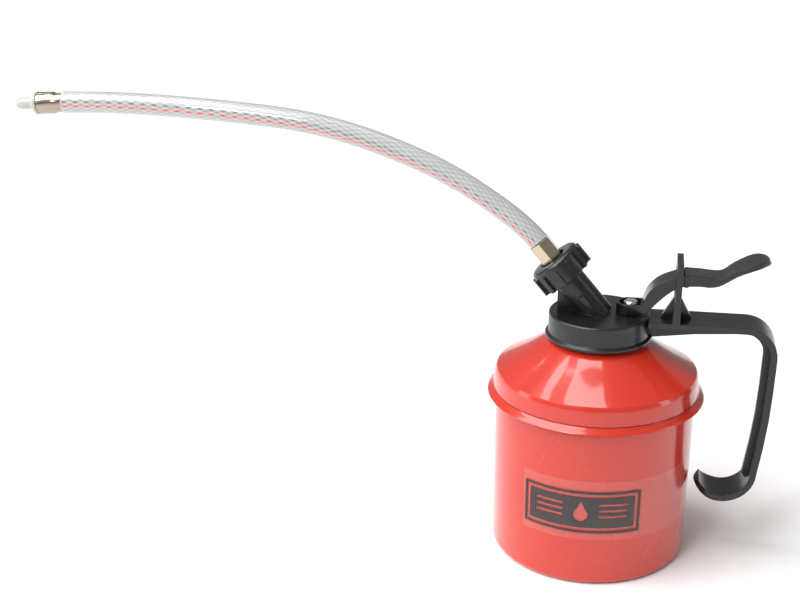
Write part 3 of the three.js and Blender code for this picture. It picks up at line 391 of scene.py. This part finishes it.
def label_film():
    """Clear film printed with an outline round a dark panel, in which plain bars and a drop are open."""
    tree, shader = blank_material("label_film")
    place = tree.nodes.new("ShaderNodeTexCoord")
    axes = tree.nodes.new("ShaderNodeSeparateXYZ")
    tree.links.new(place.outputs["Object"], axes.inputs["Vector"])
    angle = math_node(tree, "ARCTAN2", axes.outputs["Y"], axes.outputs["X"])
    across = math_node(tree, "MULTIPLY", math_node(tree, "SUBTRACT", angle, PRINT_ANGLE), FILM_R)
    up = math_node(tree, "SUBTRACT", math_node(tree, "MULTIPLY", axes.outputs["Z"], 1000), PRINT_Z)
    side = math_node(tree, "ABSOLUTE", across)
    height = math_node(tree, "ABSOLUTE", up)

    def within(half_width, half_height):
        narrow = math_node(tree, "LESS_THAN", side, half_width)
        return math_node(tree, "MULTIPLY", narrow, math_node(tree, "LESS_THAN", height, half_height))

    def minus(a, b):
        return math_node(tree, "MAXIMUM", math_node(tree, "SUBTRACT", a, b), 0)

    outline = minus(within(*OUTLINE_OUTSIDE), within(*OUTLINE_INSIDE))
    panel = within(*DARK_PANEL)
    bars = math_node(tree, "MULTIPLY", within(*BAR_FIELD), math_node(tree, "GREATER_THAN", side, BAR_START))
    rows = math_node(tree, "FRACT", math_node(tree, "MULTIPLY", up, BARS_EACH_MM))
    slots = math_node(tree, "MULTIPLY", bars, math_node(tree, "LESS_THAN", rows, 0.5))
    low = math_node(tree, "ADD", up, BULB_DROP)
    from_bulb = math_node(tree, "ADD", math_node(tree, "POWER", side, 2), math_node(tree, "POWER", low, 2))
    bulb = math_node(tree, "LESS_THAN", from_bulb, BULB_R_SQUARED)
    cone_width = math_node(tree, "MULTIPLY", math_node(tree, "SUBTRACT", TIP_HEIGHT, up), TIP_SLOPE)
    in_cone = math_node(tree, "LESS_THAN", side, cone_width)
    cone = math_node(tree, "MULTIPLY", in_cone, math_node(tree, "GREATER_THAN", up, TIP_START))
    drop = math_node(tree, "MAXIMUM", bulb, cone)
    ink_shape = math_node(tree, "MAXIMUM", outline, minus(minus(panel, slots), drop))
    surface = group_node(tree, GRAIN, Patch_Scale=150, Grain_Scale=600)
    marks = group_node(tree, MARKS, Speck_Scale=800)
    faded = spread(tree, surface.outputs["Patches"], 0.93, 1.0)
    ink = math_node(tree, "MULTIPLY", ink_shape, faded)
    colour = mixed(tree, ink, (0.85, 0.70, 0.68), (0.014, 0.010, 0.010))
    beside = math_node(tree, "GREATER_THAN", across, SPECKS_START)
    speck = math_node(tree, "MULTIPLY", marks.outputs["Specks"], beside)
    tree.links.new(mixed(tree, speck, colour, (0.95, 0.93, 0.92)), shader.inputs["Base Color"])
    ink_cover = math_node(tree, "MULTIPLY", ink, 0.97)
    printed = math_node(tree, "MAXIMUM", ink_cover, math_node(tree, "MULTIPLY", speck, 0.8))
    bare_film = 0.035
    tree.links.new(math_node(tree, "MAXIMUM", printed, bare_film), shader.inputs["Alpha"])
    tree.links.new(spread(tree, surface.outputs["Patches"], 0.16, 0.3), shader.inputs["Roughness"])
    bumped(tree, shader, surface.outputs["Height"], 0.1, 0.05 * MM)
    return bpy.data.materials["label_film"]


# ---- pieces ----

WELD_REACH = 0.000002
HOSE_SIDES = 32
HOSE_STEPS = 6  # for each span of its centre line
END_WRAP = (0, 0.1)


def smooth(mesh, angle):
    if "custom_normal" in mesh.attributes:
        mesh.attributes.remove(mesh.attributes["custom_normal"])
    mesh.polygons.foreach_set("use_smooth", [True] * len(mesh.polygons))
    mesh.set_sharp_from_angle(angle=math.radians(angle))


def body_of_node(node):
    for name, nodes in frame["record"]["behaviour"]["bodies"].items():
        if node in nodes:
            return name
    raise KeyError(node)


def refined(node, finish, angle=34):
    """A CAD node's shape with shared corners and smooth round faces, shown in its place."""
    mesh = frame["nodes"][node].data.copy()
    work = bmesh.new()
    work.from_mesh(mesh)
    bmesh.ops.remove_doubles(work, verts=work.verts, dist=WELD_REACH)
    work.to_mesh(mesh)
    work.free()
    mesh.name = node + "_surface"
    mesh.materials.clear()
    mesh.materials.append(finish)
    smooth(mesh, angle)
    piece = bpy.data.objects.new(node + "_surface", mesh)
    bpy.context.scene.collection.objects.link(piece)
    even = piece.modifiers.new("even_normals", "WEIGHTED_NORMAL")
    even.keep_sharp = True
    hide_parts(node)
    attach(piece, body_of_node(node))
    return piece


def dress(node, finish):
    """A finish on a CAD node that shows as it is."""
    mesh = frame["nodes"][node].data
    for i in range(len(mesh.materials)):
        mesh.materials[i] = finish


# Centre line of the hose in the row frame, [x, z] in metres, from the adaptor to the ferrule
HOSE_LINE = [
    (-0.0251, 0.1286),
    (-0.0281, 0.1317),
    (-0.0318, 0.1350),
    (-0.0363, 0.1385),
    (-0.0410, 0.1418),
    (-0.0470, 0.1457),
    (-0.0530, 0.1494),
    (-0.0604, 0.1534),
    (-0.0679, 0.1570),
    (-0.0834, 0.1630),
    (-0.1001, 0.1681),
    (-0.1180, 0.1717),
    (-0.1399, 0.1739),
    (-0.1644, 0.1754),
    (-0.1820, 0.1760),
    (-0.1975, 0.1761),
    (-0.2134, 0.1757),
]
HOSE_R = 0.00415


def spline_through(points, steps):
    """Points on a smooth line through the given ones, steps for each span."""
    line = []
    ends = [points[0] * 2 - points[1], *points, points[-1] * 2 - points[-2]]
    for i in range(1, len(ends) - 2):
        a, b, c, d = ends[i - 1:i + 3]
        square = 2 * a - 5 * b + 4 * c - d
        cube = 3 * b - 3 * c + d - a
        for k in range(steps):
            t = k / steps
            line.append(0.5 * (2 * b + (c - a) * t + square * t * t + cube * t ** 3))
    line.append(points[-1].copy())
    return line


def make_hose(finish):
    """Tube wall with its wrap coordinates: metres along, and the share of a turn round from +Y."""
    line = spline_through([Vector((x, 0, z)) for x, z in HOSE_LINE], HOSE_STEPS)
    mesh = bpy.data.meshes.new("braided_hose")
    work = bmesh.new()
    wrap = work.loops.layers.uv.new("hose_wrap")
    rings, runs, run = [], [], 0
    for i, point in enumerate(line):
        if i:
            run += (point - line[i - 1]).length
        runs.append(run)
        ahead = (line[min(i + 1, len(line) - 1)] - line[max(i - 1, 0)]).normalized()
        across = Vector((0, 1, 0))
        over = ahead.cross(across).normalized()
        ring = []
        for k in range(HOSE_SIDES):
            turn = 2 * math.pi * k / HOSE_SIDES
            outward = math.cos(turn) * across + math.sin(turn) * over
            ring.append(work.verts.new(point + HOSE_R * outward))
        rings.append(ring)
    for i in range(len(rings) - 1):
        for k in range(HOSE_SIDES):
            n = (k + 1) % HOSE_SIDES
            face = work.faces.new((rings[i][k], rings[i + 1][k], rings[i + 1][n], rings[i][n]))
            places = ((runs[i], k), (runs[i + 1], k), (runs[i + 1], k + 1), (runs[i], k + 1))
            for loop, (u, v) in zip(face.loops, places):
                loop[wrap].uv = (u, v / HOSE_SIDES)
    for ring in (rings[0], rings[-1]):
        face = work.faces.new(ring)
        for loop in face.loops:
            loop[wrap].uv = END_WRAP
    bmesh.ops.recalc_face_normals(work, faces=work.faces)
    work.to_mesh(mesh)
    work.free()
    mesh.materials.append(finish)
    smooth(mesh, angle=50)
    hose = bpy.data.objects.new("braided_hose", mesh)
    bpy.context.scene.collection.objects.link(hose)
    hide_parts("spout_hose")
    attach(hose, "spout")
    return hose, line, run


# ---- assembly ----

place_camera()
GRAIN = make_grain_group()
MARKS = make_dust_group()
light_studio()
lay_floor()

hose, hose_path, hose_length = make_hose(braided_pvc())

red_enamel = solid_finish(
    "red_enamel", (0.50, 0.024, 0.011), (0.57, 0.032, 0.015), (0.20, 0.32),
    coat=0.75, patch=35, grain=260, strength=0.12, edge=0.3, scuff=0.01, gloss=0.4,
)
head_black = solid_finish(
    "head_black", (0.007, 0.007, 0.008), (0.013, 0.013, 0.014), (0.22, 0.34),
    patch=70, grain=1500, strength=0.10, edge=0.4, scuff=0.02, gloss=0.5,
)
lever_black = solid_finish(
    "lever_black", (0.005, 0.005, 0.007), (0.009, 0.009, 0.012), (0.18, 0.28),
    patch=70, coat=0.2, grain=1200, strength=0.05, edge=0.5, scuff=0.02, gloss=0.4,
)
nut_black = solid_finish(
    "nut_black", (0.008, 0.008, 0.009), (0.014, 0.014, 0.015), (0.22, 0.34),
    patch=90, grain=1200, strength=0.05, edge=0.28, scuff=0.02, gloss=0.55,
)
rod_zinc = solid_finish(
    "rod_zinc", (0.62, 0.66, 0.72), (0.80, 0.83, 0.88), (0.12, 0.26),
    metal=1, patch=200, grain=1500, strength=0.1, edge=0.25, scuff=0.2,
)
adaptor_brass = solid_finish(
    "adaptor_brass", (0.50, 0.42, 0.31), (0.64, 0.55, 0.42), (0.10, 0.18),
    metal=1, patch=120, grain=1500, strength=0.04, edge=0.15, scuff=0.05,
)
ferrule_nickel = solid_finish(
    "ferrule_nickel", (0.34, 0.28, 0.23), (0.46, 0.40, 0.33), (0.12, 0.24),
    metal=1, patch=150, grain=1500, strength=0.05, edge=0.2, scuff=0.05,
)
steel_plain = solid_finish(
    "steel_plain", (0.45, 0.46, 0.47), (0.62, 0.63, 0.64), (0.25, 0.40),
    metal=1, patch=150,
)
pump_brass = solid_finish(
    "pump_brass", (0.55, 0.38, 0.16), (0.70, 0.52, 0.26), (0.22, 0.36),
    metal=1, patch=150,
)
seal_rubber = solid_finish(
    "seal_rubber", (0.020, 0.020, 0.020), (0.035, 0.034, 0.033), (0.6, 0.8),
    patch=120,
)
tube_nylon = solid_finish(
    "tube_nylon", (0.72, 0.70, 0.64), (0.82, 0.80, 0.75), (0.35, 0.5),
    patch=120,
)
valve_steel = solid_finish(
    "valve_steel", (0.66, 0.66, 0.67), (0.80, 0.80, 0.81), (0.06, 0.14),
    metal=1, patch=250,
)

refined("can_body", red_enamel, angle=40)
refined("can_shoulder", red_enamel, angle=25)
refined("neck_collar", steel_plain)
refined("label", label_film(), angle=30)
refined("pump_head", head_black, angle=26)
refined("lever", lever_black, angle=40)
refined("plunger_rod", rod_zinc, angle=50)
refined("union_nut", nut_black, angle=32)
refined("hose_adaptor", adaptor_brass)
ferrule = refined("end_ferrule", ferrule_nickel)
tip_nozzle = refined("nozzle", nozzle_plastic(), angle=50)

for node in ("gland_bush", "piston", "foot_valve", "strainer"):
    dress(node, pump_brass)
for node in ("head_gasket", "rod_seal", "piston_cup", "spout_washer"):
    dress(node, seal_rubber)
for node in ("return_spring", "pump_barrel", "outlet_spring"):
    dress(node, steel_plain)
for node in ("inlet_ball", "outlet_ball"):
    dress(node, valve_steel)
dress("suction_tube", tube_nylon)
